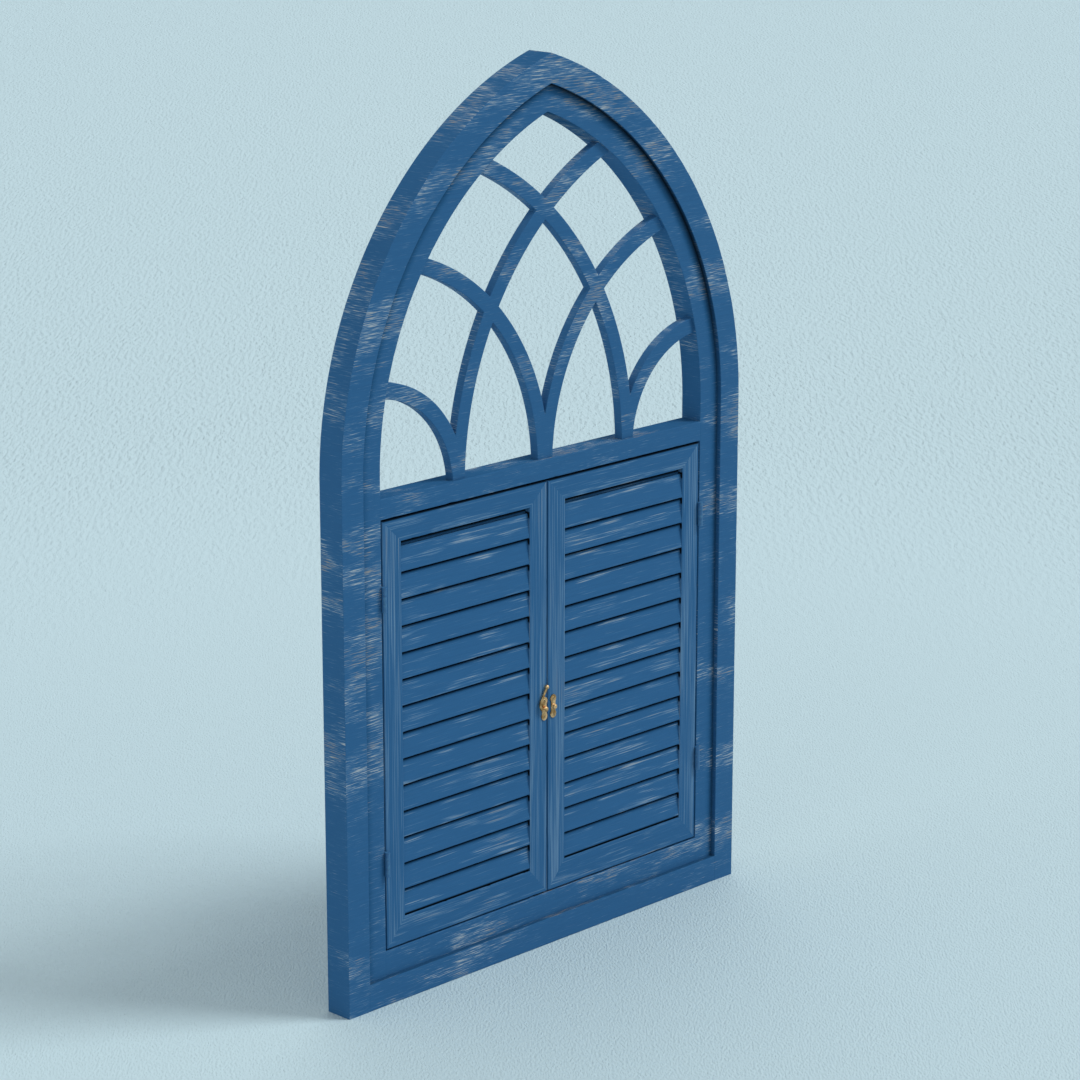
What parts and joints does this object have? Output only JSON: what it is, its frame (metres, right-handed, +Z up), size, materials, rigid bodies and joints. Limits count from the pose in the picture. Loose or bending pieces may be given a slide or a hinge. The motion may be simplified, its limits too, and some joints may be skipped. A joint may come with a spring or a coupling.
{
  "type": "window frame",
  "caption": "Pointed-arch wooden window frame with intersecting tracery above a transom and two louvred leaves that swing out, held by a hook latch.",
  "frame": {"origin": "middle of the foot: centre of the width and of the depth, on the surface the frame stands on", "axes": "+Z up towards the apex, +X to the right seen from outside, +Y from the outside face to the back"},
  "size_m": [0.6, 0.033, 0.9781],
  "materials": {
    "painted_wood": "worn blue paint over wood",
    "painted_hinge": "blue paint over steel",
    "latch_brass": "satin brass",
    "screws": "satin brass"
  },
  "bodies": {
    "frame": {"casing_sill": "painted_wood", "casing_left_jamb": "painted_wood", "casing_right_jamb": "painted_wood", "casing_left_arch": "painted_wood", "casing_right_arch": "painted_wood", "frame_sill": "painted_wood", "frame_left_jamb": "painted_wood", "frame_right_jamb": "painted_wood", "frame_transom": "painted_wood", "frame_left_arch": "painted_wood", "frame_right_arch": "painted_wood", "tracery": "painted_wood", "hinge_frame_halves": "painted_hinge", "hinge_pins": "painted_hinge", "hinge_frame_screws": "screws"},
    "left_leaf": {"left_leaf_hinge_stile": "painted_wood", "left_leaf_meeting_stile": "painted_wood", "left_leaf_top_rail": "painted_wood", "left_leaf_bottom_rail": "painted_wood", "left_leaf_slat_01": "painted_wood", "left_leaf_slat_02": "painted_wood", "left_leaf_slat_03": "painted_wood", "left_leaf_slat_04": "painted_wood", "left_leaf_slat_05": "painted_wood", "left_leaf_slat_06": "painted_wood", "left_leaf_slat_07": "painted_wood", "left_leaf_slat_08": "painted_wood", "left_leaf_slat_09": "painted_wood", "left_leaf_slat_10": "painted_wood", "left_leaf_slat_11": "painted_wood", "left_leaf_slat_12": "painted_wood", "left_leaf_slat_13": "painted_wood", "left_leaf_slat_14": "painted_wood", "left_leaf_hinge_halves": "painted_hinge", "left_leaf_screws": "screws", "latch_plate": "latch_brass", "latch_rivet": "latch_brass"},
    "right_leaf": {"right_leaf_hinge_stile": "painted_wood", "right_leaf_meeting_stile": "painted_wood", "right_leaf_top_rail": "painted_wood", "right_leaf_bottom_rail": "painted_wood", "right_leaf_slat_01": "painted_wood", "right_leaf_slat_02": "painted_wood", "right_leaf_slat_03": "painted_wood", "right_leaf_slat_04": "painted_wood", "right_leaf_slat_05": "painted_wood", "right_leaf_slat_06": "painted_wood", "right_leaf_slat_07": "painted_wood", "right_leaf_slat_08": "painted_wood", "right_leaf_slat_09": "painted_wood", "right_leaf_slat_10": "painted_wood", "right_leaf_slat_11": "painted_wood", "right_leaf_slat_12": "painted_wood", "right_leaf_slat_13": "painted_wood", "right_leaf_slat_14": "painted_wood", "right_leaf_hinge_halves": "painted_hinge", "right_leaf_screws": "screws", "keeper_plate": "latch_brass"},
    "latch_hook": {"latch_hook": "latch_brass"}
  },
  "joints": [
    {"name": "left_leaf_hinge", "type": "hinge", "parent": "frame", "child": "left_leaf", "pos_m": [-0.241, -0.0138, 0.299], "axis": [0, 0, -1], "range_deg": [0, 170]},
    {"name": "right_leaf_hinge", "type": "hinge", "parent": "frame", "child": "right_leaf", "pos_m": [0.241, -0.0138, 0.299], "axis": [0, 0, 1], "range_deg": [0, 170]},
    {"name": "latch_turn", "type": "hinge", "parent": "left_leaf", "child": "latch_hook", "pos_m": [-0.0055, -0.0138, 0.271], "axis": [0, 1, 0], "range_deg": [-180, 90]}
  ]
}
